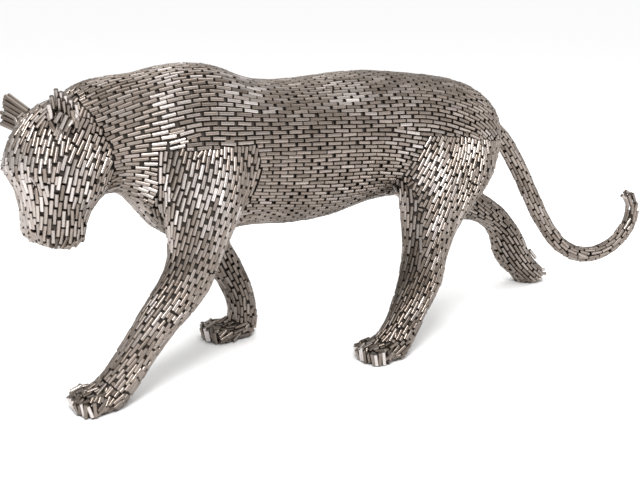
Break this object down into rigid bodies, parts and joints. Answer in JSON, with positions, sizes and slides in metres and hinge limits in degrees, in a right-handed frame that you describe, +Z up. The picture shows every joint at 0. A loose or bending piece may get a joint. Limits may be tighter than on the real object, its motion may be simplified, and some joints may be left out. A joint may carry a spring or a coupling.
{
  "type": "stainless steel panther sculpture",
  "caption": "Life-size walking panther, a free-standing hollow figure welded from short stainless steel bars, head lowered and turned, tail curved up.",
  "frame": {"origin": "on the floor under the middle of the figure's box", "axes": "+Z up, the head looks to -X and the tail points to +X, the figure's left side faces -Y and its right side +Y"},
  "size_m": [1.711, 0.4368, 0.6659],
  "materials": {
    "steel": "satin stainless steel, sanded bright on the raised forms, warm grey elsewhere, dark between the bars"
  },
  "bodies": {
    "root": {"panther": "steel"}
  },
  "joints": []
}
